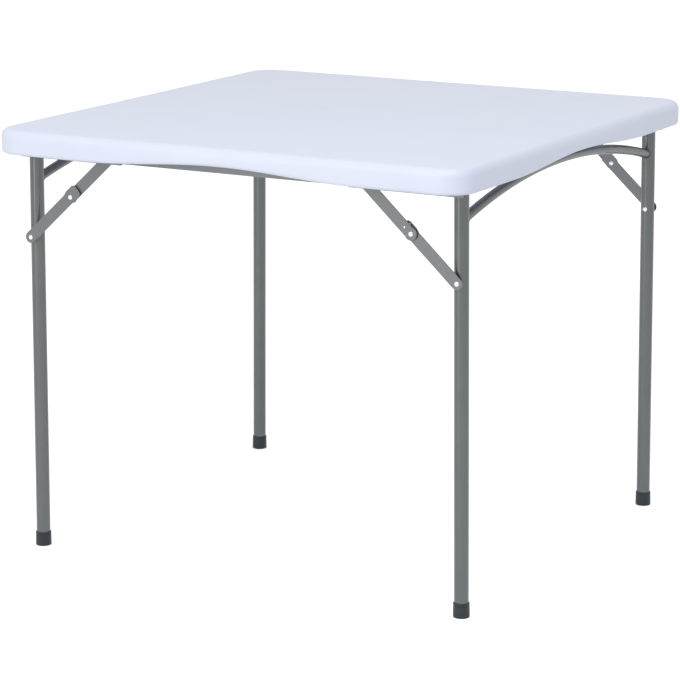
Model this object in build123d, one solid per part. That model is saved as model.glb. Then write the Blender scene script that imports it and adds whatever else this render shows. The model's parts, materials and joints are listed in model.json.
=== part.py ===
from build123d import *
import math
import os

# A square folding card table: a moulded plastic top on two folding leg frames.
# Millimetres. The origin is on the floor under the middle of the top, and +Z is up.
# The right leg frame stands at +X, the left one at -X, and the front is -Y.
# Each corner is modelled once, at +X and +Y, and mirrored to its place.
# "out" is the distance from the middle of a leg, away from the table's middle, along Y.

# The top
top_width = 888.0
table_height = 740.0
corner_radius = 50.0
edge_round = 10.0
panel_thickness = 16.0
apron_depth = 41.5
apron_thickness = 9.0
apron_lift = 11.5
lift_span = 540.0
lip_round = 7.0
skin = 2.6
cavity_rim = 6.0
tack_pitch = 100.0
tacks_per_row = 8
tack_mouth_radius = 14.0
tack_tip_radius = 8.0

# The leg frames
leg_inset_x = 41.4
leg_inset_y = 76.0
leg_radius = 12.0
leg_wall = 1.2
leg_splay = 5.9
leg_end_margin = 9.0
foot_cap_radius = 13.75
foot_cap_neck_radius = 13.35
foot_cap_height = 25.0
foot_cap_sole = 5.0
foot_cap_round = 1.2
arch_radius = 8.0
arch_wall = 1.2
arch_end_drop = 77.0
arch_rise = 47.0
left_pivot_offset = 18.0
ear_thickness = 3.0
ear_radius = 11.0
ear_seat = 1.0

# The braces
brace_foot_drop = 174.0
brace_angle = 42.5
link_thickness = 2.0
link_half_width = 10.0
eye_radius = 10.8
stop_reach = 21.0
stop_start = 10.2
stop_ramp = 8.0
stop_thickness = 2.0
stop_corner = 7.0
detent_place = 14.5
detent_radius = 2.6
detent_height = 0.8

# Rivets, pins and spacers
pivot_pin_radius = 4.0
pivot_head_radius = 6.5
rivet_radius = 3.0
rivet_head_radius = 4.2
rivet_head_height = 1.4
spacer_wall = 2.0
pivot_spacer_wall = 3.0
shoulder_radius = 6.0

# The rails under the top
rail_thickness = 1.6
rail_depth = 33.0
rail_ledge = 22.0
rail_end_gap = 17.0
rail_step_reach = 215.0
pin_edge = 8.0
right_root_drop = 21.0
screw_radius = 2.1
screw_head_radius = 4.2
screw_head_height = 2.4
screw_bite = 8.0
screw_pitch = 170.0
screws_per_rail = 5
boss_radius = 7.0

# Clearances
fold_clearance = 5.25
stack_clearance = 0.75
pass_clearance = 2.25
face_clearance = 0.2
stop_clearance = 0.3
running_clearance = 0.08
fixed_clearance = 0.05
overrun = 5.0

# Places that follow from the sizes above
underside = table_height - panel_thickness
apron_foot = table_height - apron_depth
leg_x = top_width / 2 - leg_inset_x
leg_y = top_width / 2 - leg_inset_y
right_pivot_height = underside - foot_cap_radius - fold_clearance
frame_stack = leg_radius + foot_cap_radius + stack_clearance
left_pivot_height = right_pivot_height - frame_stack + left_pivot_offset
leg_lean = math.degrees(math.atan(leg_splay / right_pivot_height))
leg_top = right_pivot_height + leg_end_margin
brace_foot_height = underside - brace_foot_drop

# The layers that the brace's pieces lie in, as distances out from the middle of a leg
inner_link_out = foot_cap_radius + pass_clearance
inner_link_end = inner_link_out + link_thickness
rivet_layer = rivet_head_height + 2 * face_clearance
outer_link_out = inner_link_end + rivet_layer
outer_link_end = outer_link_out + link_thickness
rail_out = outer_link_end + rivet_layer
rail_end_out = rail_out + rail_thickness


def upright(profile, out_from, out_to):
    """Raise a flat profile, drawn in X and Z, between two distances out from a leg."""
    slab = extrude(profile, amount=out_to - out_from)
    return Pos(0, leg_y, 0) * Rot(90, 0, 0) * Pos(0, 0, -out_to) * slab


def bar(place, out_from, out_to, radius):
    """A round bar along Y at a place given as X and Z."""
    middle = leg_y + (out_from + out_to) / 2
    return Pos(place[0], middle, place[1]) * Rot(90, 0, 0) * Cylinder(radius, out_to - out_from)


def dome(place, out_at, radius, height, facing):
    """A domed rivet head whose flat face lies at out_at; facing is +1 outwards, -1 inwards."""
    edge = Line((0, 0), (radius, 0))
    sphere_radius = (radius * radius + height * height) / (2 * height)
    half_way = radius / 2
    half_height = math.sqrt(sphere_radius ** 2 - half_way ** 2) - (sphere_radius - height)
    crown = ThreePointArc((radius, 0), (half_way, half_height), (0, height))
    axis_line = Line((0, height), (0, 0))
    profile = Plane.XZ * make_face([edge, crown, axis_line])
    head = revolve(profile, Axis.Z)
    return Pos(place[0], leg_y + out_at, place[1]) * Rot(-90 * facing, 0, 0) * head


def leaning(shape):
    """Lean a leg frame's piece so that its foot stands further out than its top."""
    return shape.rotate(Axis((leg_x, 0, right_pivot_height), (0, 1, 0)), -leg_lean)


def to_corner(shape, side, end):
    """Mirror a piece modelled at +X and +Y to the left side or the front end."""
    placed = shape
    if side == "left":
        placed = placed.mirror(Plane.YZ)
    if end == "front":
        placed = placed.mirror(Plane.XZ)
    return placed


def rounded_square(half, radius, bottom, top):
    """A square block with round upright corners."""
    block = Pos(0, 0, (bottom + top) / 2) * Box(2 * half, 2 * half, top - bottom)
    return fillet(block.edges().filter_by(Axis.Z), radius)


# The tabletop is one blow-moulded piece: two skins with air between them, pressed together at
# a grid of small cones, and an apron round the edge that is shallower at the middle of each side.
half_top = top_width / 2
apron_inner = half_top - apron_thickness


def lift_cutter():
    """The long shallow arch cut from the foot of two opposite aprons, as one prism along Y."""
    reach = lift_span / 4
    bend = (reach ** 2 + (apron_lift / 2) ** 2) / apron_lift
    part_way = bend - math.sqrt(bend ** 2 - (reach / 2) ** 2)
    low = apron_foot
    middle = apron_foot + apron_lift / 2
    high = apron_foot + apron_lift
    curves = [
        ThreePointArc((-2 * reach, low), (-3 * reach / 2, low + part_way), (-reach, middle)),
        ThreePointArc((-reach, middle), (0, high), (reach, middle)),
        ThreePointArc((reach, middle), (3 * reach / 2, low + part_way), (2 * reach, low)),
        Polyline((2 * reach, low), (2 * reach, low - overrun), (-2 * reach, low - overrun),
                 (-2 * reach, low)),
    ]
    prism = extrude(make_face(curves), amount=half_top + overrun, both=True)
    return Rot(90, 0, 0) * prism


def grid(count, pitch):
    """Places at an even pitch, centred on zero."""
    return [(step - (count - 1) / 2) * pitch for step in range(count)]


def make_tabletop(screw_places):
    outer = rounded_square(half_top, corner_radius, apron_foot, table_height)
    outer = fillet(outer.faces().sort_by(Axis.Z)[-1].edges(), edge_round)
    outer = fillet(outer.faces().sort_by(Axis.Z)[0].edges(), lip_round)
    pocket = rounded_square(apron_inner, corner_radius - apron_thickness,
                            apron_foot - overrun, underside)
    cutter = lift_cutter()
    cavity = rounded_square(half_top - cavity_rim, corner_radius - cavity_rim,
                            underside + skin, table_height - skin)
    tack_depth = panel_thickness - 2 * skin
    mouths = []
    cones = []
    for x in grid(tacks_per_row, tack_pitch):
        for y in grid(tacks_per_row, tack_pitch):
            cone = Cone(tack_mouth_radius, tack_tip_radius, tack_depth)
            jacket = Cone(tack_mouth_radius + skin, tack_tip_radius + skin, panel_thickness)
            mouths.append(Pos(x, y, underside + tack_depth / 2) * cone)
            cones.append(Pos(x, y, underside + panel_thickness / 2) * jacket)
    bosses = []
    pilots = []
    for x, y in screw_places:
        boss = Cylinder(boss_radius, panel_thickness)
        bosses.append(Pos(x, y, underside + panel_thickness / 2) * boss)
        pilot_depth = screw_bite + fixed_clearance
        pilot = Cylinder(screw_radius + fixed_clearance, pilot_depth)
        pilots.append(Pos(x, y, underside + pilot_depth / 2) * pilot)
    cavity = cavity - cones - bosses
    body = outer - pocket - cutter - Rot(0, 0, 90) * cutter
    return body - mouths - pilots - cavity


# The linkage of one side. The leg frame turns about its pivot, the upper link about a root pin
# on the rail, and the lower link about a rivet through the leg. Open, the two links lie in
# one line; folded, the upper link lies level, and the elbow closes again at that end.
def turned(point, centre, degrees):
    """Turn a point about a centre, from +X towards +Z."""
    angle = math.radians(degrees)
    dx = point[0] - centre[0]
    dz = point[1] - centre[1]
    return (centre[0] + dx * math.cos(angle) - dz * math.sin(angle),
            centre[1] + dx * math.sin(angle) + dz * math.cos(angle))


def heading(start, end):
    """The direction from one point to another, in degrees from +X towards +Z."""
    return math.degrees(math.atan2(end[1] - start[1], end[0] - start[0]))


def make_linkage(pivot, root_height):
    slope = math.tan(math.radians(brace_angle))
    lean = math.radians(leg_lean)
    brace_foot = (leg_x + (right_pivot_height - brace_foot_height) * math.tan(lean), brace_foot_height)
    root = (brace_foot[0] - (root_height - brace_foot_height) / slope, root_height)
    fold = 90 + leg_lean
    folded_foot = turned(brace_foot, pivot, -fold)
    span = math.dist(root, brace_foot)
    ahead = folded_foot[0] - root[0]
    below = folded_foot[1] - root[1]
    upper = (span ** 2 - ahead ** 2 - below ** 2) / (2 * (span - ahead))
    lower = span - upper
    elbow = (root[0] + (brace_foot[0] - root[0]) * upper / span,
             root[1] + (brace_foot[1] - root[1]) * upper / span)
    folded_elbow = (root[0] + upper, root[1])
    upper_turn = -heading(root, elbow)
    lower_turn = heading(folded_foot, folded_elbow) - heading(brace_foot, elbow)
    return {
        "pivot": pivot, "root": root, "brace_foot": brace_foot, "elbow": elbow,
        "upper": upper, "lower": lower, "fold": fold,
        "upper_ratio": upper_turn / fold, "lower_ratio": (lower_turn + fold) / fold,
    }


linkages = {
    "right": make_linkage((leg_x, right_pivot_height), underside - right_root_drop),
    "left": make_linkage((leg_x - left_pivot_offset, left_pivot_height), left_pivot_height),
}


def make_leg(side):
    """A leg tube, drilled for the brace rivet and, on the right, for its pivot pin."""
    length = leg_top - foot_cap_sole
    middle = Pos(leg_x, leg_y, foot_cap_sole + length / 2)
    tube = leaning(middle * Cylinder(leg_radius, length))
    bore = leaning(middle * Cylinder(leg_radius - leg_wall, length + overrun))
    rivet_hole = bar(linkages[side]["brace_foot"], -leg_radius - overrun, leg_radius + overrun,
                     rivet_radius + fixed_clearance)
    tube = tube - bore - rivet_hole
    if side == "right":
        tube = tube - bar(linkages[side]["pivot"], -leg_radius - overrun, leg_radius + overrun,
                          pivot_pin_radius + running_clearance)
    return tube


def leg_core():
    """The solid outline of a leg tube, used to shape what is welded to it."""
    return leaning(Pos(leg_x, leg_y, leg_top / 2) * Cylinder(leg_radius, leg_top))


def make_foot_cap():
    """A plastic cap pushed over the end of the leg, flared a little and cut flat at the floor."""
    full_height = foot_cap_height + foot_cap_round / 2
    cap = Cone(foot_cap_radius, foot_cap_neck_radius, full_height)
    cap = fillet(cap.edges().sort_by(Axis.Z)[0], foot_cap_round)
    cap = Pos(leg_x, leg_y, foot_cap_height - full_height / 2) * cap
    hole_height = foot_cap_height + overrun
    hole = Cylinder(leg_radius + fixed_clearance, hole_height)
    hole = Pos(leg_x, leg_y, foot_cap_sole + hole_height / 2) * hole
    ground = Pos(leg_x, leg_y, -overrun) * Box(4 * foot_cap_radius, 4 * foot_cap_radius, 2 * overrun)
    return leaning(cap - hole).cut(Pos(leg_splay, 0, 0) * ground)


def make_arch():
    """The bowed cross tube welded between the two legs of a frame."""
    end_height = underside - arch_end_drop
    middle_height = end_height + arch_rise
    path = Rot(0, 0, 90) * Rot(90, 0, 0) * ThreePointArc((-leg_y, end_height), (0, middle_height),
                                                         (leg_y, end_height))
    start = Plane(path @ 0, z_dir=path % 0)
    outside = sweep(start * Circle(arch_radius), path=path)
    bore = sweep(start * Circle(arch_radius - arch_wall), path=path)
    tube = leaning(Pos(leg_x, 0, 0) * (outside - bore))
    return tube - leg_core() - leg_core().mirror(Plane.XZ)


def make_ear(linkage):
    """The plate welded to a left leg that carries its pivot inboard of the tube."""
    pivot = linkage["pivot"]
    reach = left_pivot_offset
    shape = Pos(pivot[0] + reach / 2, pivot[1]) * SlotCenterToCenter(reach, 2 * ear_radius)
    plate = upright(shape, leg_radius - ear_seat, leg_radius + ear_thickness)
    hole = bar(pivot, -overrun, leg_radius + ear_thickness + overrun,
               pivot_pin_radius + running_clearance)
    return plate - leg_core() - hole


def make_leg_rivet(linkage, link_end):
    """The rivet through a leg that the lower link turns on."""
    place = linkage["brace_foot"]
    outer_face = link_end + face_clearance
    shank = bar(place, -leg_radius, outer_face, rivet_radius)
    outer = dome(place, outer_face, rivet_head_radius, rivet_head_height, 1)
    inner = dome(place, -leg_radius, rivet_head_radius, rivet_head_height, -1)
    return shank + outer + inner


def make_leg_spacer(linkage, link_out):
    """The bush between a leg and its lower link, shaped to sit on the round tube."""
    place = linkage["brace_foot"]
    bush = bar(place, leg_radius - ear_seat, link_out - face_clearance, rivet_radius + spacer_wall)
    hole = bar(place, 0, link_out + overrun, rivet_radius + fixed_clearance)
    return bush - leg_core() - hole


def strip(start, end, half_width):
    """The outline of a flat link with a round end at start and a wider eye at end."""
    length = math.dist(start, end)
    body = Pos(length / 2, 0) * SlotCenterToCenter(length, 2 * half_width)
    outline = body + Pos(length, 0) * Circle(eye_radius)
    return Pos(start[0], start[1]) * Rot(0, 0, heading(start, end)) * outline


def make_upper_link(linkage, link_out, facing):
    """The link between the rail and the elbow, with a small pressed detent near the elbow."""
    root = linkage["root"]
    elbow = linkage["elbow"]
    link_end = link_out + link_thickness
    outline = strip(root, elbow, link_half_width)
    plate = upright(outline, link_out, link_end)
    root_hole = bar(root, link_out - overrun, link_end + overrun, rivet_radius + running_clearance)
    elbow_hole = bar(elbow, link_out - overrun, link_end + overrun, rivet_radius + fixed_clearance)
    detent_share = detent_place / linkage["upper"]
    spot = (elbow[0] + (root[0] - elbow[0]) * detent_share,
            elbow[1] + (root[1] - elbow[1]) * detent_share)
    face = link_end if facing > 0 else link_out
    bump = dome(spot, face, detent_radius, detent_height, facing)
    return plate - root_hole - elbow_hole + bump


def make_lower_link(linkage, link_out, facing):
    """The link between the leg and the elbow. It runs on past the elbow to a plate whose folded
    edge lies over the upper link and stops the brace when it is straight."""
    foot = linkage["brace_foot"]
    elbow = linkage["elbow"]
    link_end = link_out + link_thickness
    tilt = heading(foot, elbow)
    to_elbow = Pos(elbow[0], elbow[1]) * Rot(0, 0, tilt)
    stop_edge = link_half_width + stop_clearance + stop_thickness
    corners = [(-stop_ramp, -link_half_width), (0, -stop_edge), (stop_reach, -stop_edge),
               (stop_reach, link_half_width), (-stop_ramp, link_half_width)]
    stop_plate = make_face(Polyline(*corners, close=True))
    stop_plate = fillet(stop_plate.vertices().sort_by(Axis.X)[-2:], stop_corner)
    outline = strip(foot, elbow, link_half_width) + to_elbow * stop_plate
    plate = upright(outline, link_out, link_end)
    foot_hole = bar(foot, link_out - overrun, link_end + overrun, rivet_radius + running_clearance)
    elbow_hole = bar(elbow, link_out - overrun, link_end + overrun, rivet_radius + fixed_clearance)
    lip_gap = link_half_width + stop_clearance
    lip_end = stop_reach - stop_corner
    lip_corners = [(stop_start, -stop_edge), (lip_end, -stop_edge), (lip_end, -lip_gap),
                   (stop_start, -lip_gap)]
    lip = to_elbow * make_face(Polyline(*lip_corners, close=True))
    if facing > 0:
        lip = upright(lip, link_out, outer_link_end)
    else:
        lip = upright(lip, inner_link_out, link_end)
    return plate + lip - foot_hole - elbow_hole


def make_elbow_half(linkage, link_out, facing):
    """Half of the elbow rivet: the head and the shank in one link. The outer half has the
    shoulder that keeps the links apart."""
    place = linkage["elbow"]
    link_end = link_out + link_thickness
    shank = bar(place, link_out, link_end, rivet_radius)
    face = link_end if facing > 0 else link_out
    half = shank + dome(place, face, rivet_head_radius, rivet_head_height, facing)
    if facing > 0:
        half = half + bar(place, inner_link_end + face_clearance, link_out, shoulder_radius)
    return half


def make_root_pin(linkage, link_out):
    """The pin on the rail that the upper link turns on."""
    place = linkage["root"]
    inner_face = link_out - face_clearance
    shank = bar(place, inner_face, rail_end_out, rivet_radius)
    inner = dome(place, inner_face, rivet_head_radius, rivet_head_height, -1)
    outer = dome(place, rail_end_out, rivet_head_radius, rivet_head_height, 1)
    return shank + inner + outer


def make_root_spacer(linkage, link_out):
    """The bush that keeps the upper link off the rail."""
    place = linkage["root"]
    start = link_out + link_thickness + face_clearance
    bush = bar(place, start, rail_out, rivet_radius + spacer_wall)
    return bush - bar(place, start - overrun, rail_out + overrun, rivet_radius + fixed_clearance)


def make_pivot_pin(linkage, inner_face):
    """The pin on the rail that a leg frame turns on."""
    place = linkage["pivot"]
    shank = bar(place, inner_face, rail_end_out, pivot_pin_radius)
    inner = dome(place, inner_face, pivot_head_radius, rivet_head_height, -1)
    outer = dome(place, rail_end_out, pivot_head_radius, rivet_head_height, 1)
    return shank + inner + outer


def make_pivot_spacer(linkage, start):
    """The bush between a leg frame and the rail."""
    place = linkage["pivot"]
    bush = bar(place, start + face_clearance, rail_out, pivot_pin_radius + pivot_spacer_wall)
    return bush - bar(place, start - overrun, rail_out + overrun, pivot_pin_radius + fixed_clearance)


# The rail is a folded steel angle screwed under the top, deeper where the pins go through it.
rail_half = apron_inner - rail_end_gap
rail_end_depth = underside - left_pivot_height + pin_edge
ledge_middle = leg_y + rail_end_out + (rail_ledge - rail_thickness) / 2
screw_rows = grid(screws_per_rail, screw_pitch)


def make_rail():
    """The rear rail."""
    step = rail_end_depth - rail_depth
    outline = Polyline(
        (-rail_half, underside), (rail_half, underside), (rail_half, underside - rail_end_depth),
        (rail_step_reach, underside - rail_end_depth), (rail_step_reach - step, underside - rail_depth),
        (-rail_step_reach + step, underside - rail_depth),
        (-rail_step_reach, underside - rail_end_depth),
        (-rail_half, underside - rail_end_depth), close=True)
    web = upright(make_face(outline), rail_out, rail_end_out)
    ledge_box = Box(2 * rail_half, rail_ledge, rail_thickness)
    ledge = Pos(0, leg_y + rail_out + rail_ledge / 2, underside - rail_thickness / 2) * ledge_box
    holes = []
    for side, sign in (("right", 1), ("left", -1)):
        for name, radius in (("pivot", pivot_pin_radius), ("root", rivet_radius)):
            x, z = linkages[side][name]
            holes.append(bar((sign * x, z), rail_out - overrun, rail_end_out + overrun,
                             radius + fixed_clearance))
    for x in screw_rows:
        hole = Cylinder(screw_radius + fixed_clearance, rail_thickness + overrun)
        holes.append(Pos(x, ledge_middle, underside - rail_thickness / 2) * hole)
    return web + ledge - holes


def make_screw(x, y):
    """A pan-head screw driven up through the rail into a boss in the top."""
    head_face = underside - rail_thickness
    length = rail_thickness + screw_bite
    shank = Pos(x, y, head_face + length / 2) * Cylinder(screw_radius, length)
    head = Cylinder(screw_head_radius, screw_head_height)
    head = fillet(head.edges().sort_by(Axis.Z)[0], screw_head_height / 3)
    return Pos(x, y, head_face - screw_head_height / 2) * head + shank


parts = {}
screw_places = [(x, y) for y in (-ledge_middle, ledge_middle) for x in screw_rows]
parts["tabletop"] = make_tabletop(screw_places)
rail = make_rail()
parts["rear_rail"] = rail
parts["front_rail"] = rail.mirror(Plane.XZ)
parts["rail_screws"] = Compound(children=[make_screw(x, y) for x, y in screw_places])

root_spacers = []
pivot_spacers = []
for side in ("right", "left"):
    linkage = linkages[side]
    # On the right frame the lower link lies next to the leg; on the left frame the upper one does.
    lower_out = inner_link_out if side == "right" else outer_link_out
    upper_out = outer_link_out if side == "right" else inner_link_out
    lower_facing = -1 if side == "right" else 1
    upper_facing = -lower_facing
    frame_face = leg_radius if side == "right" else leg_radius + ear_thickness
    pin_inner_face = -leg_radius if side == "right" else leg_radius - ear_seat
    arch = make_arch()
    parts[side + "_arch_tube"] = to_corner(arch, side, "rear")
    corner = {
        "leg": make_leg(side),
        "foot_cap": make_foot_cap(),
        "leg_rivet": make_leg_rivet(linkage, lower_out + link_thickness),
        "leg_spacer": make_leg_spacer(linkage, lower_out),
        "pivot_pin": make_pivot_pin(linkage, pin_inner_face - face_clearance),
        "root_pin": make_root_pin(linkage, upper_out),
        "upper_link": make_upper_link(linkage, upper_out, upper_facing),
        "lower_link": make_lower_link(linkage, lower_out, upper_facing),
        "upper_elbow_rivet": make_elbow_half(linkage, upper_out, upper_facing),
        "lower_elbow_rivet": make_elbow_half(linkage, lower_out, lower_facing),
    }
    if side == "left":
        corner["pivot_ear"] = make_ear(linkage)
    for end in ("front", "rear"):
        for name, shape in corner.items():
            parts[f"{end}_{side}_{name}"] = to_corner(shape, side, end)
        root_spacers.append(to_corner(make_root_spacer(linkage, upper_out), side, end))
        pivot_spacers.append(to_corner(make_pivot_spacer(linkage, frame_face), side, end))
parts["root_spacers"] = Compound(children=root_spacers)
parts["pivot_spacers"] = Compound(children=pivot_spacers)

os.makedirs("parts", exist_ok=True)
for name, shape in parts.items():
    export_step(shape, f"parts/{name}.step")

for side, linkage in linkages.items():
    sign = 1 if side == "right" else -1
    for name in ("pivot", "root", "brace_foot", "elbow"):
        print(side, name, round(sign * linkage[name][0], 4), round(linkage[name][1], 4))
    for name in ("upper", "lower", "fold", "upper_ratio", "lower_ratio"):
        print(side, name, round(linkage[name], 6))
print("leg row", round(leg_y, 4), "rail face out", round(rail_out, 4), "nodes", len(parts))
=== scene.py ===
import json
import math
import bmesh
import bpy
from mathutils import Matrix, Quaternion, Vector

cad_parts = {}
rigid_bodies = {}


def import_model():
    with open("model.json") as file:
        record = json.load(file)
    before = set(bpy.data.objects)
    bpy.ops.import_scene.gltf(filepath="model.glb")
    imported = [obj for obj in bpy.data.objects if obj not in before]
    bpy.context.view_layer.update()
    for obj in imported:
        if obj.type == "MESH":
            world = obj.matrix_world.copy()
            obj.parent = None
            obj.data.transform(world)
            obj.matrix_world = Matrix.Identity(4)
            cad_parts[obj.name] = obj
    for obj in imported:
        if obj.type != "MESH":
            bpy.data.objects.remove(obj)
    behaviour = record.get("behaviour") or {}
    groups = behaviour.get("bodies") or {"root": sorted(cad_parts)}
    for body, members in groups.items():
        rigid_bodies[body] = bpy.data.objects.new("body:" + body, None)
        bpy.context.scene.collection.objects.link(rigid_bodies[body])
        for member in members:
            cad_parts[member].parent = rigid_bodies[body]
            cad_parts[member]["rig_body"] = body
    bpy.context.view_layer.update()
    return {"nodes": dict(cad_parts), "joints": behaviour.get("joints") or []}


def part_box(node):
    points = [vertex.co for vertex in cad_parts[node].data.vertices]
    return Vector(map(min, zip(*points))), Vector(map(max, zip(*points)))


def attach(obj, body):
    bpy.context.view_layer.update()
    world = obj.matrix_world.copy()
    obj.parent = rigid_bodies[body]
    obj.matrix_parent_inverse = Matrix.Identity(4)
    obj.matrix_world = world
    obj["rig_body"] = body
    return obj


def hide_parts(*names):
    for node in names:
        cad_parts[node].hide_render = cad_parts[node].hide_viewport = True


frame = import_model()

# The tabletop
# One blow-moulded piece of white high-density polyethylene: two skins with air between them, pressed
# together at a grid of small cones. Its edge is rolled over into an apron with a soft lip, which is
# shallower half way along each side.
top_low, top_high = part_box("tabletop")
top_half = top_high.x
top_level = top_high.z
apron_foot = top_low.z
corner_radius = 0.050
corner_steps = 16
side_steps = 56
corner_roll = (0.0125, 0.0140)
middle_roll = (0.0140, 0.0190)
roll_steps = 14
apron_lift = 0.0120
lift_reach = 0.260
lip_outer_width = 0.0048
lip_outer_height = 0.0060
lip_inner_round = 0.0010
lip_steps = 8
lip_inner_steps = 4
apron_thickness = 0.009
panel_thickness = 0.016
pocket_round = 0.004
pocket_steps = 6
tack_pitch = 0.100
tacks_per_row = 8
tack_edges = 6
tack_profile = [(0.0175, 0.0), (0.0158, 0.0004), (0.0146, 0.0014), (0.0137, 0.0032),
                (0.0098, 0.0094), (0.0088, 0.0105), (0.0070, 0.0108)]
moulded_crease = math.radians(32)


def clamped(value, limit):
    """A value kept between minus and plus a limit."""
    return max(-limit, min(limit, value))


def lifted(place):
    """How far a point of the outline has joined the shallow middle of its side: 0 to 1."""
    along = min(abs(place.x), abs(place.y))
    if along > lift_reach:
        return 0.0
    return (1 + math.cos(math.pi * along / lift_reach)) / 2


def set_ring(verts, inset, height_at):
    """Put a ring of the rounded square at a distance in from its outline, at heights of its own."""
    core = top_half - corner_radius
    for vert in verts:
        middle = Vector((clamped(vert.co.x, core), clamped(vert.co.y, core)))
        outward = (vert.co.xy - middle).normalized()
        place = middle + outward * (corner_radius - inset)
        vert.co.xy = place
        vert.co.z = height_at(place)


def grow_ring(bm, edges, inset, height_at):
    """Extrude a ring's edges and set the new ring."""
    made = bmesh.ops.extrude_edge_only(bm, edges=edges)["geom"]
    ring = [e for e in made if isinstance(e, bmesh.types.BMEdge) and e.is_boundary]
    verts = list({v for e in ring for v in e.verts})
    set_ring(verts, inset, height_at)
    return ring


def between(pair_a, pair_b, share):
    """Two numbers that lie a share of the way from one pair to another."""
    return [a + (b - a) * share for a, b in zip(pair_a, pair_b)]


def roll_height(place, inset):
    """The height of the rolled edge, a quarter of an ellipse, at a distance in from the outline."""
    width, drop = between(corner_roll, middle_roll, lifted(place))
    level = 1 - min(inset / width, 1.0)
    return top_level - drop * (1 - math.sqrt(1 - level * level))


def foot_height(place):
    """The height of the apron's lower edge, which rises towards the middle of each side."""
    return apron_foot + apron_lift * lifted(place)


def quarter_turn(steps):
    """The angles of a rounded corner, from 0 to a right angle."""
    return [math.pi / 2 * step / steps for step in range(steps + 1)]


def outline(bm):
    """The rounded square that the top is grown from, as one ring of edges."""
    grid = bmesh.ops.create_grid(bm, x_segments=1, y_segments=1, size=top_half)
    bmesh.ops.bevel(bm, geom=grid["verts"], offset=corner_radius, offset_type="OFFSET",
                    segments=corner_steps, profile=0.5, affect="VERTICES", material=-1)
    sides = [e for e in bm.edges if e.calc_length() > top_half]
    bmesh.ops.subdivide_edges(bm, edges=sides, cuts=side_steps - 1)
    bmesh.ops.delete(bm, geom=bm.faces[:], context="FACES_ONLY")
    return bm.edges[:]


def sink_tack(bm, face):
    """Turn the middle of one square of the underside into a pressed cone."""
    centre = face.calc_center_median()
    bmesh.ops.inset_individual(bm, faces=[face], thickness=(tack_pitch - tack_profile[0][0]) / 2)
    bmesh.ops.subdivide_edges(bm, edges=face.edges[:], cuts=tack_edges - 1)
    rim = face.verts[:]
    for vert in rim:
        vert.co = centre + (vert.co - centre).normalized() * tack_profile[0][0]
    for radius, depth in tack_profile[1:]:
        made = bmesh.ops.extrude_discrete_faces(bm, faces=[face])["faces"]
        face = made[0]
        for vert in face.verts:
            spoke = vert.co - centre
            spoke.z = 0
            vert.co = centre + spoke.normalized() * radius + Vector((0, 0, depth))


def make_object(name, bm, material, crease=moulded_crease):
    """Give a finished mesh its name, its finish and smooth shading between its creases."""
    mesh = bpy.data.meshes.new(name)
    bm.to_mesh(mesh)
    bm.free()
    mesh.shade_smooth()
    mesh.set_sharp_from_angle(angle=crease)
    mesh.materials.append(material)
    made = bpy.data.objects.new(name, mesh)
    bpy.context.scene.collection.objects.link(made)
    return made


def stand_for(piece, node):
    """Let a piece stand for a CAD piece: it rides on the same body, and the CAD piece is hidden."""
    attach(piece, frame["nodes"][node]["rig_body"])
    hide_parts(node)


def linear(code):
    """The linear colour of an sRGB hex code."""
    parts = [int(code[i:i + 2], 16) / 255 for i in (1, 3, 5)]
    return [*(p / 12.92 if p <= 0.04045 else ((p + 0.055) / 1.055) ** 2.4 for p in parts), 1.0]


def add_node(tree, kind, inputs=None, **settings):
    """Add a shader node with its settings. Inputs are given by name or number, as values or links."""
    made = tree.nodes.new(kind)
    for name, value in settings.items():
        setattr(made, name, value)
    for name, value in (inputs or {}).items():
        if isinstance(value, bpy.types.NodeSocket):
            tree.links.new(value, made.inputs[name])
        else:
            made.inputs[name].default_value = value
    return made


def new_material(name):
    """An empty material with its shader, its surface coordinates and its node tree."""
    material = bpy.data.materials.new(name)
    material.use_nodes = True
    tree = material.node_tree
    shader = tree.nodes["Principled BSDF"]
    place = add_node(tree, "ShaderNodeTexCoord").outputs["Object"]
    return material, tree, shader, place


def moulded_polyethylene():
    """White HDPE from a grained mould: cool white, soft broad highlights, a fine leathery grain, and a
    faint waviness where the two skins shrank between the tacks."""
    material, tree, shader, place = new_material("moulded_polyethylene")
    grain_size = 0.0022
    wave_size = 0.090
    grain = add_node(tree, "ShaderNodeTexVoronoi", {"Vector": place, "Scale": 1 / grain_size,
                     "Randomness": 1.0}, feature="SMOOTH_F1")
    wave = add_node(tree, "ShaderNodeTexNoise", {"Vector": place, "Scale": 1 / wave_size, "Detail": 2.0})
    slow = add_node(tree, "ShaderNodeBump", {"Height": wave.outputs["Fac"], "Strength": 0.25,
                    "Distance": 0.0008})
    fine = add_node(tree, "ShaderNodeBump", {"Height": grain.outputs["Distance"], "Strength": 0.12,
                    "Distance": 0.0002, "Normal": slow.outputs["Normal"]})
    tone = add_node(tree, "ShaderNodeMix", {0: wave.outputs["Fac"], 6: linear("#DEE5F5"),
                    7: linear("#E5EAF9")}, data_type="RGBA")
    rough = add_node(tree, "ShaderNodeMapRange", {"Value": grain.outputs["Distance"], "To Min": 0.42,
                     "To Max": 0.52})
    tree.links.new(tone.outputs[2], shader.inputs["Base Color"])
    tree.links.new(rough.outputs["Result"], shader.inputs["Roughness"])
    tree.links.new(fine.outputs["Normal"], shader.inputs["Normal"])
    shader.inputs["IOR"].default_value = 1.54
    return material


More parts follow.
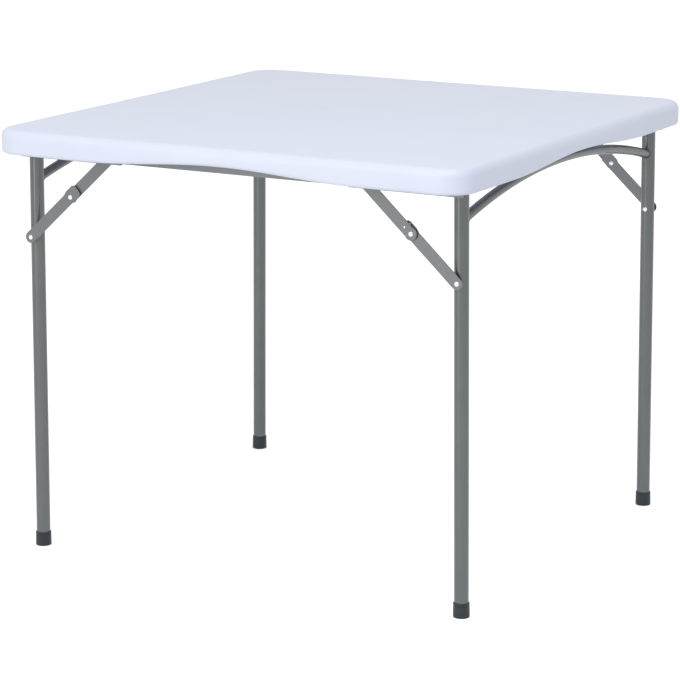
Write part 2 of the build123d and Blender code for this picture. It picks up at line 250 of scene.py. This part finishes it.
def make_tabletop():
    """Grow the top from its outline: inwards over the roll and the flat, then down the apron, round its
    lip, up its inner face and in under the panel to the tacks."""
    bm = bmesh.new()
    start = outline(bm)
    set_ring(bm.verts, 0, lambda place: roll_height(place, 0))
    edges = start
    for step in range(1, roll_steps + 1):
        inset = middle_roll[0] * (step / roll_steps) ** 2
        edges = grow_ring(bm, edges, inset, lambda place: roll_height(place, inset))
    bmesh.ops.contextual_create(bm, geom=edges)
    edges = start
    for turn in quarter_turn(lip_steps):
        inset = lip_outer_width * (1 - math.cos(turn))
        rise = lip_outer_height * (1 - math.sin(turn))
        edges = grow_ring(bm, edges, inset, lambda place: foot_height(place) + rise)
    for turn in quarter_turn(lip_inner_steps):
        inset = apron_thickness - lip_inner_round * (1 - math.sin(turn))
        rise = lip_inner_round * (1 - math.cos(turn))
        edges = grow_ring(bm, edges, inset, lambda place: foot_height(place) + rise)
    underside = top_level - panel_thickness
    for turn in quarter_turn(pocket_steps):
        inset = apron_thickness + pocket_round * (1 - math.cos(turn))
        drop = pocket_round * (1 - math.sin(turn))
        edges = grow_ring(bm, edges, inset, lambda place: underside - drop)
    panel = bmesh.ops.create_grid(bm, x_segments=tacks_per_row, y_segments=tacks_per_row,
                                  size=tack_pitch * tacks_per_row / 2,
                                  matrix=Matrix.Translation((0, 0, underside)))
    cells = list({f for v in panel["verts"] for f in v.link_faces})
    rim = [e for e in {e for f in cells for e in f.edges} if e.is_boundary]
    bmesh.ops.bridge_loops(bm, edges=edges + rim)
    for cell in cells:
        sink_tack(bm, cell)
    bmesh.ops.recalc_face_normals(bm, faces=bm.faces[:])
    return make_object("moulded_top", bm, moulded_polyethylene())


moulded_top = make_tabletop()
stand_for(moulded_top, "tabletop")


# The rails
# Two angles folded from 1.6 mm steel sheet, screwed under the front and rear edges of the top. They
# are powder-coated grey after they are cut, drilled and folded, so every edge of them is softened.
sheet_edge = 0.0003
merge_distance = 0.000002
flat_angle = math.radians(0.6)
edge_angle = math.radians(35)
edge_steps = 2
sheet_crease = math.radians(50)


def softened(node, material, edge):
    """A copy of a CAD piece as whole faces with rounded edges, in place of the piece."""
    bm = bmesh.new()
    bm.from_mesh(frame["nodes"][node].data)
    bmesh.ops.remove_doubles(bm, verts=bm.verts, dist=merge_distance)
    bmesh.ops.dissolve_limit(bm, angle_limit=flat_angle, verts=bm.verts, edges=bm.edges)
    sharp = [e for e in bm.edges if e.calc_face_angle() > edge_angle]
    bmesh.ops.bevel(bm, geom=sharp, offset=edge, offset_type="OFFSET", segments=edge_steps, profile=0.5,
                    affect="EDGES", material=-1, clamp_overlap=True)
    piece = make_object(node + "_softened", bm, material, crease=sheet_crease)
    piece.modifiers.new("flat_faces_stay_flat", "WEIGHTED_NORMAL").keep_sharp = True
    stand_for(piece, node)


def powder_coat(name, light_code, dark_code, roughness):
    """Grey polyester powder coat with fine aluminium flake, baked on steel: satin and slightly metallic,
    with the low orange peel of a thick coat, and a little darker where it pooled."""
    material, tree, shader, place = new_material(name)
    peel_size = 0.0016
    cloud_size = 0.040
    gloss_change = 0.04
    peel = add_node(tree, "ShaderNodeTexNoise", {"Vector": place, "Scale": 1 / peel_size, "Detail": 1.0})
    cloud = add_node(tree, "ShaderNodeTexNoise", {"Vector": place, "Scale": 1 / cloud_size,
                     "Detail": 3.0})
    bump = add_node(tree, "ShaderNodeBump", {"Height": peel.outputs["Fac"], "Strength": 0.25,
                    "Distance": 0.00012})
    tone = add_node(tree, "ShaderNodeMix", {0: cloud.outputs["Fac"], 6: linear(dark_code),
                    7: linear(light_code)}, data_type="RGBA")
    rough = add_node(tree, "ShaderNodeMapRange", {"Value": cloud.outputs["Fac"],
                     "To Min": roughness - gloss_change, "To Max": roughness + gloss_change})
    tree.links.new(tone.outputs[2], shader.inputs["Base Color"])
    tree.links.new(rough.outputs["Result"], shader.inputs["Roughness"])
    tree.links.new(bump.outputs["Normal"], shader.inputs["Normal"])
    shader.inputs["Metallic"].default_value = 0.65
    return material


sheet_coat = powder_coat("grey_powder_coat_on_sheet", "#7F8385", "#76797B", 0.46)
for node in ("front_rail", "rear_rail"):
    softened(node, sheet_coat, sheet_edge)


# The rail screws
# Ten zinc-plated pan-head screws with a cross recess, driven up through the rails into solid bosses
# of the top.
screw_low, screw_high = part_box("rail_screws")
screw_head_radius = 0.0042
screw_shank_radius = 0.0021
screw_head_height = 0.0024
screw_crown_profile = [(0.0027, 0), (0.0033, 0), (0.0038, 0.0003), (0.0041, 0.0008),
                       (screw_head_radius, 0.0012)]
screw_tip = 0.0010
screws_per_rail = 5
screw_sides = 24
cross_arm = 0.0021
cross_half_width = 0.0006
cross_depth = 0.0013
cross_taper = 0.62


def spin_profile(bm, profile, steps):
    """Spin a profile of radii and heights round an upright axis."""
    verts = [bm.verts.new((radius, 0, height)) for radius, height in profile]
    edges = [bm.edges.new(pair) for pair in zip(verts, verts[1:])]
    bmesh.ops.spin(bm, geom=verts + edges, cent=(0, 0, 0), axis=(0, 0, 1), angle=math.tau, steps=steps,
                   use_merge=True)
    bmesh.ops.remove_doubles(bm, verts=bm.verts[:], dist=merge_distance)


def make_screw(bm):
    """One screw with its head's seat at the origin: the head hangs below and the shank points up."""
    crown = -screw_head_height
    profile = [(radius, crown + rise) for radius, rise in screw_crown_profile]
    profile += [(screw_head_radius, 0), (screw_shank_radius, 0),
                (screw_shank_radius, screw_length - screw_tip), (0, screw_length)]
    spin_profile(bm, profile, screw_sides)
    rim = [e for e in bm.edges if e.is_boundary]
    quarter = [Vector((cross_arm, -cross_half_width)), Vector((cross_arm, cross_half_width)),
               Vector((cross_half_width, cross_half_width))]
    turns = [Matrix.Rotation(math.pi / 2 * step, 2) for step in range(4)]
    corners = [turn @ corner for turn in turns for corner in quarter]
    verts = [bm.verts.new((*corner, crown)) for corner in corners]
    cross = [bm.edges.new(pair) for pair in zip(verts, verts[1:] + verts[:1])]
    bmesh.ops.bridge_loops(bm, edges=rim + cross)
    made = bmesh.ops.extrude_edge_only(bm, edges=cross)["geom"]
    bottom_verts = [v for v in made if isinstance(v, bmesh.types.BMVert)]
    bmesh.ops.scale(bm, verts=bottom_verts, vec=(cross_taper, cross_taper, 1))
    bmesh.ops.translate(bm, verts=bottom_verts, vec=(0, 0, cross_depth))
    bottom_edges = [e for e in made if isinstance(e, bmesh.types.BMEdge) and e.is_boundary]
    bmesh.ops.contextual_create(bm, geom=bottom_edges)


def bright_zinc():
    """Zinc plate, polished by its barrel: a bright cool metal with very fine wear."""
    material, tree, shader, place = new_material("bright_zinc_plate")
    wear_size = 0.0015
    wear = add_node(tree, "ShaderNodeTexNoise", {"Vector": place, "Scale": 1 / wear_size, "Detail": 3.0})
    rough = add_node(tree, "ShaderNodeMapRange", {"Value": wear.outputs["Fac"], "To Min": 0.18,
                     "To Max": 0.34})
    tree.links.new(rough.outputs["Result"], shader.inputs["Roughness"])
    shader.inputs["Base Color"].default_value = linear("#E2E4E6")
    shader.inputs["Metallic"].default_value = 1.0
    return material


zinc = bright_zinc()
screw_seat = screw_low.z + screw_head_height
screw_length = screw_high.z - screw_seat
screw_row_x = screw_high.x - screw_head_radius
screw_row_y = screw_high.y - screw_head_radius
screws_bm = bmesh.new()
make_screw(screws_bm)
pattern_verts = screws_bm.verts[:]
pattern = pattern_verts + screws_bm.edges[:] + screws_bm.faces[:]
for row in (-screw_row_y, screw_row_y):
    for step in range(screws_per_rail):
        copied = bmesh.ops.duplicate(screws_bm, geom=pattern)["geom"]
        copied_verts = [v for v in copied if isinstance(v, bmesh.types.BMVert)]
        along = screw_row_x * (2 * step / (screws_per_rail - 1) - 1)
        bmesh.ops.translate(screws_bm, verts=copied_verts, vec=(along, row, screw_seat))
bmesh.ops.delete(screws_bm, geom=pattern_verts, context="VERTS")
bmesh.ops.recalc_face_normals(screws_bm, faces=screws_bm.faces[:])
cross_screws = make_object("cross_screws", screws_bm, zinc)
stand_for(cross_screws, "rail_screws")


# The leg tubes and the cross tubes
# Round steel tube, 24 mm for the legs and 16 mm for the bowed tube between them. The cross tube's ends
# are cut to the round of the legs and welded all round, and the whole frame is powder-coated after.
ends = {"front": -1, "rear": 1}
sides = {"right": 1, "left": -1}
places = {joint["name"]: Vector(joint["pos_m"]) for joint in frame["joints"]}
brace_foot = places["rear_right_lower_brace_turn"]
leg_radius = 0.012
leg_y = brace_foot.y
leg_x = places["right_fold"].x
lean_height = places["right_fold"].z
lean_slope = (brace_foot.x - leg_x) / (lean_height - brace_foot.z)
arch_radius = 0.008
arch_end_height = 0.647
arch_rise = 0.047
weld_radius = 0.0015
weld_offset = weld_radius / 4
weld_sides = 10
weld_steps = 60
weld_ripples = 20
weld_ripple_share = 0.10

tube_coat = powder_coat("grey_powder_coat_on_tube", "#6D706F", "#636665", 0.25)


def leaned(point):
    """Move a point of an upright right leg to where the leg's outward lean puts it."""
    return Vector((point.x + (lean_height - point.z) * lean_slope, point.y, point.z))


def to_corner(bm, side, end):
    """Mirror a mesh made at the rear right to another corner."""
    bmesh.ops.scale(bm, verts=bm.verts[:], vec=(sides[side], ends[end], 1))
    bmesh.ops.recalc_face_normals(bm, faces=bm.faces[:])


def weld_ring(bm, ring_radius):
    """A closed bead of weld round an upright axis, with the ripples that the welder's steps leave."""
    section = bmesh.ops.create_circle(bm, segments=weld_sides, radius=weld_radius,
                                      matrix=Matrix.Translation((ring_radius, 0, 0))
                                      @ Matrix.Rotation(math.pi / 2, 4, "X"))["verts"]
    edges = list({e for v in section for e in v.link_edges})
    bmesh.ops.spin(bm, geom=section + edges, cent=(0, 0, 0), axis=(0, 0, 1), angle=math.tau,
                   steps=weld_steps, use_merge=True)
    for vert in bm.verts:
        turn = math.atan2(vert.co.y, vert.co.x)
        middle = Vector((math.cos(turn), math.sin(turn), 0)) * ring_radius
        swell = 1 + weld_ripple_share * math.cos(turn * weld_ripples)
        vert.co = middle + (vert.co - middle) * swell


def make_arch_weld(side, end):
    """The bead round the end of a cross tube, laid where the tube meets the round of the leg."""
    bend = (leg_y ** 2 + arch_rise ** 2) / (2 * arch_rise)
    meeting_y = leg_y - leg_radius
    fall = math.asin(meeting_y / bend)
    meeting_z = arch_end_height + arch_rise - bend * (1 - math.cos(fall))
    bm = bmesh.new()
    weld_ring(bm, arch_radius + weld_offset)
    seat = leg_radius + weld_offset
    for vert in bm.verts:
        turn = math.atan2(vert.co.y, vert.co.x)
        across = (arch_radius + weld_offset) * math.cos(turn)
        above = (arch_radius + weld_offset) * math.sin(turn)
        reach = (leg_y - math.sqrt(seat ** 2 - across ** 2) - meeting_y
                 - above * math.sin(fall)) / math.cos(fall)
        out = vert.co.z + reach
        up = vert.co.y
        vert.co = leaned(Vector((leg_x + vert.co.x,
                                 meeting_y + out * math.cos(fall) + up * math.sin(fall),
                                 meeting_z - out * math.sin(fall) + up * math.cos(fall))))
    to_corner(bm, side, end)
    weld = make_object(f"{end}_{side}_arch_weld", bm, tube_coat)
    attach(weld, side + "_frame")


for side in sides:
    softened(side + "_arch_tube", tube_coat, sheet_edge)
    for end in ends:
        softened(f"{end}_{side}_leg", tube_coat, sheet_edge)
        make_arch_weld(side, end)


# The ears of the left frame
# A 3 mm plate welded across each left leg carries that frame's pivot inboard, so that it folds below
# the right frame. A short bead above and one below the plate hold it to the round of the tube.
ear_weld_turn = math.radians(44)
ear_weld_steps = 14
ear_weld_end_share = 0.15
ear_edge = 0.0005


def make_ear_welds(end):
    """Two beads on the outer side of a leg, along the upper and the lower edge of its ear."""
    ear_low, ear_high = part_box(f"{end}_left_pivot_ear")
    bm = bmesh.new()
    for level in (ear_low.z, ear_high.z):
        start = Matrix.Rotation(math.pi / 2 - ear_weld_turn / 2, 4, "Z")
        ring = bmesh.ops.create_circle(bm, segments=weld_sides, radius=weld_radius, cap_ends=True,
                                       matrix=start @ Matrix.Translation((leg_radius, 0, 0))
                                       @ Matrix.Rotation(math.pi / 2, 4, "X"))["verts"]
        faces = list({f for v in ring for f in v.link_faces})
        bmesh.ops.spin(bm, geom=faces, cent=(0, 0, 0), axis=(0, 0, 1), angle=ear_weld_turn,
                       steps=ear_weld_steps)
        bead = {v for v in bm.verts if not v.tag}
        for vert in bead:
            turn = math.atan2(vert.co.y, vert.co.x)
            middle = Vector((math.cos(turn), math.sin(turn), 0)) * leg_radius
            part_way = 2 * abs(turn - math.pi / 2) / ear_weld_turn
            swell = math.sqrt(max(0, 1 - part_way ** 4)) * (1 - ear_weld_end_share) + ear_weld_end_share
            vert.co = middle + (vert.co - middle) * swell
            vert.co = leaned(vert.co + Vector((leg_x, leg_y, level)))
            vert.tag = True
    to_corner(bm, "left", end)
    weld = make_object(f"{end}_left_ear_welds", bm, tube_coat)
    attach(weld, "left_frame")


for end in ends:
    softened(f"{end}_left_pivot_ear", tube_coat, ear_edge)
    make_ear_welds(end)


# The foot caps
# Black polyethylene caps pushed over the ends of the legs, a little wider at the floor, with a rolled
# rim and two rings moulded into the sole.
cap_radius = 0.01375
cap_neck_radius = 0.01335
cap_height = 0.025
cap_bore = 0.01205
cap_sole = 0.005
cap_sides = 64
cap_taper = (cap_radius - cap_neck_radius) / cap_height
ring_depth = 0.0007
cap_wall_heights = (0.0018, 0.0070, 0.0140, 0.0210)
cap_bore_top = 0.0244
cap_sole_profile = [(0, ring_depth), (0.0046, ring_depth), (0.0050, 0), (0.0082, 0), (0.0086, ring_depth),
                    (0.0094, ring_depth), (0.0098, 0), (0.0124, 0), (0.0131, 0.0003), (0.0136, 0.0008)]
cap_rim_profile = [(-0.0003, 0.0213), (-0.0004, 0.0217), (-0.0001, 0.0222), (0.0002, 0.0230),
                   (0.0002, 0.0238), (-0.0001, 0.0245), (-0.0006, 0.0250), (-0.0011, 0.0249)]


def black_moulding(name, code, roughness):
    """Black moulded plastic: a deep blue-black with a dull sheen and a fine matt grain."""
    material, tree, shader, place = new_material(name)
    grain_size = 0.0009
    gloss_change = 0.05
    grain = add_node(tree, "ShaderNodeTexNoise", {"Vector": place, "Scale": 1 / grain_size,
                     "Detail": 2.0})
    bump = add_node(tree, "ShaderNodeBump", {"Height": grain.outputs["Fac"], "Strength": 0.2,
                    "Distance": 0.0001})
    rough = add_node(tree, "ShaderNodeMapRange", {"Value": grain.outputs["Fac"],
                     "To Min": roughness - gloss_change, "To Max": roughness + gloss_change})
    tree.links.new(bump.outputs["Normal"], shader.inputs["Normal"])
    tree.links.new(rough.outputs["Result"], shader.inputs["Roughness"])
    shader.inputs["Base Color"].default_value = linear(code)
    return material


def make_foot_cap(side, end):
    """One cap: its sole, its wall, its rolled rim and the bore that the leg fills."""
    profile = list(cap_sole_profile)
    profile += [(cap_radius - cap_taper * height, height) for height in cap_wall_heights]
    profile += [(cap_neck_radius + offset, height) for offset, height in cap_rim_profile]
    profile += [(cap_bore, cap_bore_top), (cap_bore, cap_sole), (0, cap_sole)]
    bm = bmesh.new()
    spin_profile(bm, profile, cap_sides)
    for vert in bm.verts:
        vert.co = leaned(vert.co + Vector((leg_x, leg_y, 0)))
    to_corner(bm, side, end)
    cap = make_object(f"{end}_{side}_cap_moulding", bm, cap_black)
    stand_for(cap, f"{end}_{side}_foot_cap")


cap_black = black_moulding("black_cap_polyethylene", "#1B242B", 0.5)
for side in sides:
    for end in ends:
        make_foot_cap(side, end)


# The brace links
# Two strips of pressed 2 mm steel at each leg. The upper one hangs from the rail and the lower one turns
# on a rivet through the leg, with a folded stop that rests on the upper one when the brace is straight.
link_edge = 0.0003
strip_coat = powder_coat("grey_powder_coat_on_strip", "#7B7E7F", "#717475", 0.46)
for side in sides:
    for end in ends:
        softened(f"{end}_{side}_upper_link", strip_coat, link_edge)
        softened(f"{end}_{side}_lower_link", strip_coat, link_edge)


# The worn crowns of the detents
# The lower link snaps over a small pressed dome on each upper one, which has worn the coat off its
# crown, so that bright steel shows there.
detent_place = 0.0145
detent_radius = 0.0026
detent_height = 0.0008
wear_radius = 0.0016
wear_rise = 0.00004
wear_root = 0.0002
wear_rings = 5
wear_sides = 32


def make_detent_wear(side, end):
    """A thin cap that follows the round of a detent, on the face of the upper link that it stands on."""
    sphere = (detent_radius ** 2 + detent_height ** 2) / (2 * detent_height)
    radii = [wear_radius * (1 - step / wear_rings) for step in range(wear_rings + 1)]
    profile = [(radius, math.sqrt(sphere ** 2 - radius ** 2) - sphere + wear_rise) for radius in radii]
    foot = profile[0][1] - wear_root
    bm = bmesh.new()
    spin_profile(bm, [(0, foot), (wear_radius, foot)] + profile, wear_sides)
    link_low, link_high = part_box(f"{end}_{side}_upper_link")
    rivet_low, rivet_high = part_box(f"{end}_{side}_upper_elbow_rivet")
    elbow = (rivet_low + rivet_high) / 2
    root = places[f"{end}_{side}_upper_brace_turn"]
    along = Vector((root.x - elbow.x, 0, root.z - elbow.z)).normalized() * detent_place
    outwards = ends[end] if side == "right" else -ends[end]
    face = link_high.y if outwards > 0 else link_low.y
    quarter = Matrix.Rotation(-outwards * math.pi / 2, 3, "X")
    bmesh.ops.rotate(bm, verts=bm.verts[:], cent=(0, 0, 0), matrix=quarter)
    bmesh.ops.translate(bm, verts=bm.verts[:], vec=(elbow.x + along.x, face, elbow.z + along.z))
    bmesh.ops.recalc_face_normals(bm, faces=bm.faces[:])
    crown = make_object(f"{end}_{side}_detent_wear", bm, zinc)
    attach(crown, f"{end}_{side}_upper_brace")


for side in sides:
    for end in ends:
        make_detent_wear(side, end)


# The pins and rivets
# Zinc-plated steel, with heads pressed to smooth low domes that catch the light.
rivet_edge = 0.00015
for side in sides:
    for end in ends:
        for name in ("pivot_pin", "root_pin", "leg_rivet", "upper_elbow_rivet", "lower_elbow_rivet"):
            softened(f"{end}_{side}_{name}", zinc, rivet_edge)


# The bushes
# Black nylon bushes that keep the moving steel pieces apart.
bush_edge = 0.0003
bush_black = black_moulding("black_nylon", "#1D1E20", 0.42)
for node in ("root_spacers", "pivot_spacers"):
    softened(node, bush_black, bush_edge)
for side in sides:
    for end in ends:
        softened(f"{end}_{side}_leg_spacer", bush_black, bush_edge)


# The studio
# A white floor that keeps a faint shadow, a white surround, soft lamps and a camera with a long lens
# where the photograph's view was taken from.
floor_half = 14.0
floor_glow = 0.55
light_from_surround = 0.60
seen_surround = 1.0
lamp_target = (0, 0, 0.7)
overhead_place = (0.9, -1.7, 3.2)
overhead_size = (2.0, 2.0)
overhead_watts = 35
strip_place = (-0.95, -4.1, 1.2)
strip_size = (0.20, 2.2)
strip_watts = 30


def white_floor():
    """Matt white paper. To the camera it is close to white by itself and only its shadow shows."""
    material, tree, shader = new_material("white_paper")[:3]
    shader.inputs["Base Color"].default_value = linear("#F2F3F5")
    shader.inputs["Roughness"].default_value = 0.9
    path = add_node(tree, "ShaderNodeLightPath")
    seen = add_node(tree, "ShaderNodeMath", {0: path.outputs["Is Camera Ray"],
                    1: path.outputs["Is Glossy Ray"]}, operation="MAXIMUM")
    strength = add_node(tree, "ShaderNodeMath", {0: seen.outputs[0], 1: floor_glow},
                        operation="MULTIPLY")
    shader.inputs["Emission Color"].default_value = linear("#FFFFFF")
    tree.links.new(strength.outputs[0], shader.inputs["Emission Strength"])
    return material


floor_bm = bmesh.new()
bmesh.ops.create_grid(floor_bm, x_segments=1, y_segments=1, size=floor_half)
floor = make_object("floor", floor_bm, white_floor())

world = bpy.data.worlds.new("surround")
bpy.context.scene.world = world
world.use_nodes = True
surround = world.node_tree
background = surround.nodes["Background"]
background.inputs["Color"].default_value = linear("#FFFFFF")
ray = add_node(surround, "ShaderNodeLightPath")
mirror = add_node(surround, "ShaderNodeMath", {0: ray.outputs["Is Glossy Ray"],
                  1: ray.outputs["Is Transmission Ray"]}, operation="MAXIMUM")
shown = add_node(surround, "ShaderNodeMath", {0: ray.outputs["Is Camera Ray"], 1: mirror.outputs[0]},
                 operation="MAXIMUM")
level = add_node(surround, "ShaderNodeMapRange", {"Value": shown.outputs[0],
                 "To Min": light_from_surround, "To Max": seen_surround})
surround.links.new(level.outputs["Result"], background.inputs["Strength"])


def soft_lamp(name, place, size, watts, code):
    """A soft box that faces the table."""
    lamp = bpy.data.lights.new(name, "AREA")
    lamp.shape = "RECTANGLE"
    lamp.size, lamp.size_y = size
    lamp.energy = watts
    lamp.color = linear(code)[:3]
    made = bpy.data.objects.new(name, lamp)
    made.location = place
    made.rotation_euler = (Vector(lamp_target) - Vector(place)).to_track_quat("-Z", "Y").to_euler()
    bpy.context.scene.collection.objects.link(made)


soft_lamp("overhead_lamp", overhead_place, overhead_size, overhead_watts, "#F4F7FF")
soft_lamp("strip_lamp", strip_place, strip_size, strip_watts, "#FDF9F3")

focal_pixels = 2829.77
picture_pixels = 680
camera_place = (2.35867, -4.24997, 1.46044)
camera_yaw = -0.5104
camera_pitch = 0.2271
camera_roll = -0.0013
camera_data = bpy.data.cameras.new("camera")
camera_data.sensor_width = 36.0
camera_data.lens = focal_pixels / picture_pixels * camera_data.sensor_width
camera_data.clip_end = 60
camera = bpy.data.objects.new("camera", camera_data)
looking = Vector((math.sin(camera_yaw) * math.cos(camera_pitch),
                  math.cos(camera_yaw) * math.cos(camera_pitch), -math.sin(camera_pitch)))
camera.location = camera_place
camera.rotation_euler = (looking.to_track_quat("-Z", "Y") @ Quaternion((0, 0, 1), camera_roll)).to_euler()
bpy.context.scene.collection.objects.link(camera)
bpy.context.scene.camera = camera
bpy.context.scene.view_settings.view_transform = "Standard"
